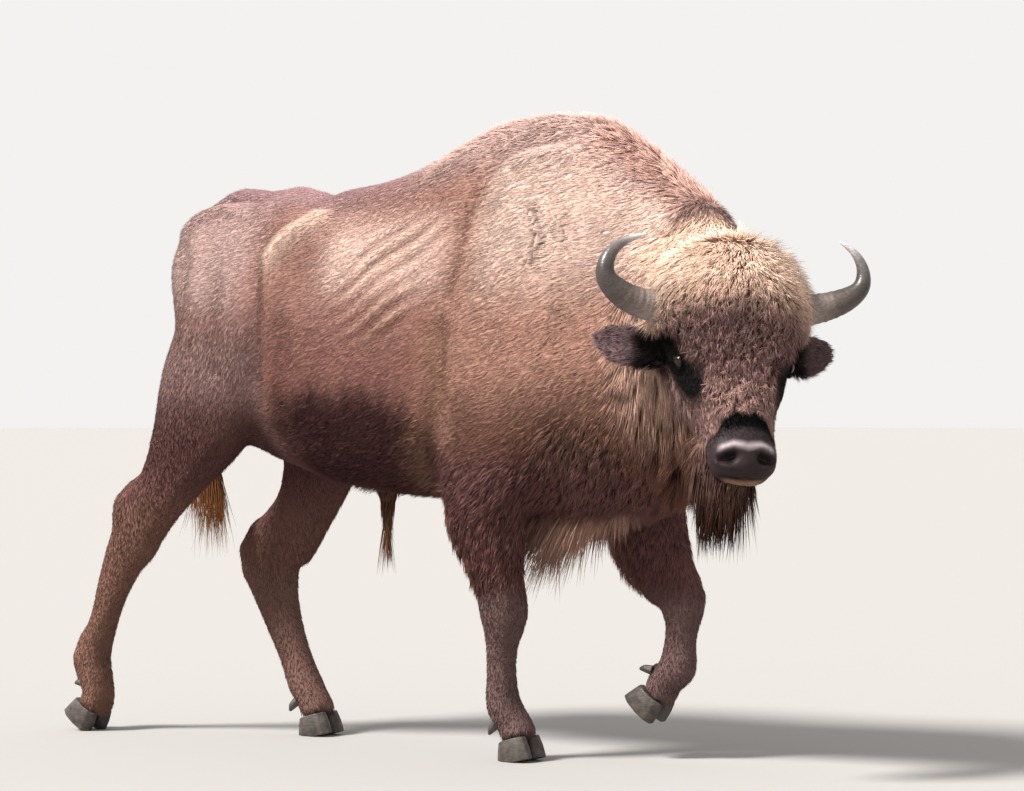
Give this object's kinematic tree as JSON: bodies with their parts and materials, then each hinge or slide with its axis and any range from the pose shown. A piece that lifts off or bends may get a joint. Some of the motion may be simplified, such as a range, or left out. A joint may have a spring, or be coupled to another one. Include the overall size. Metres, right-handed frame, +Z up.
{
  "type": "wisent",
  "caption": "Life-size wisent bull in mid stride, head turned to its right, with a high hump, curved horns, a beard and a throat mane.",
  "frame": {"origin": "on the floor below the middle of the whole animal", "axes": "+X forward along the back, +Y to the animal's left, +Z up"},
  "size_m": [2.6722, 0.8584, 1.808],
  "materials": {
    "coat_flank": "short pinkish tan coat, lying flat, with longer tufts over the shoulder",
    "coat_mane": "longer purplish brown hair along the hump and neck",
    "coat_crown": "deep tan hair on the crown, dark curls on the forehead",
    "coat_dark": "dark chocolate hair on the legs and tail",
    "coat_tuft": "long rust brown hair of the tail's end",
    "coat_beard": "long dark hanging hair with reddish tips",
    "coat_ear": "short brown hair outside, dark long hair inside",
    "horn": "grey keratin, rough and pale at the base, smooth and dark at the tip",
    "hoof": "dark grey keratin with fine rings",
    "eye": "wet dark brown eye"
  },
  "bodies": {
    "root": {"beard": "coat_beard", "dewclaw_left_fore_inner": "hoof", "dewclaw_left_fore_outer": "hoof", "dewclaw_left_hind_inner": "hoof", "dewclaw_left_hind_outer": "hoof", "dewclaw_right_fore_inner": "hoof", "dewclaw_right_fore_outer": "hoof", "dewclaw_right_hind_inner": "hoof", "dewclaw_right_hind_outer": "hoof", "ear_left": "coat_ear", "ear_right": "coat_ear", "eye_left": "eye", "eye_right": "eye", "head": "coat_crown", "hoof_left_fore_inner": "hoof", "hoof_left_fore_outer": "hoof", "hoof_left_hind_inner": "hoof", "hoof_left_hind_outer": "hoof", "hoof_right_fore_inner": "hoof", "hoof_right_fore_outer": "hoof", "hoof_right_hind_inner": "hoof", "hoof_right_hind_outer": "hoof", "horn_left": "horn", "horn_right": "horn", "leg_left_fore": "coat_dark", "leg_left_hind": "coat_dark", "leg_right_fore": "coat_dark", "leg_right_hind": "coat_dark", "neck": "coat_mane", "sheath": "coat_beard", "tail": "coat_dark", "tail_tuft": "coat_tuft", "throat_mane": "coat_beard", "trunk": "coat_flank"}
  },
  "joints": []
}
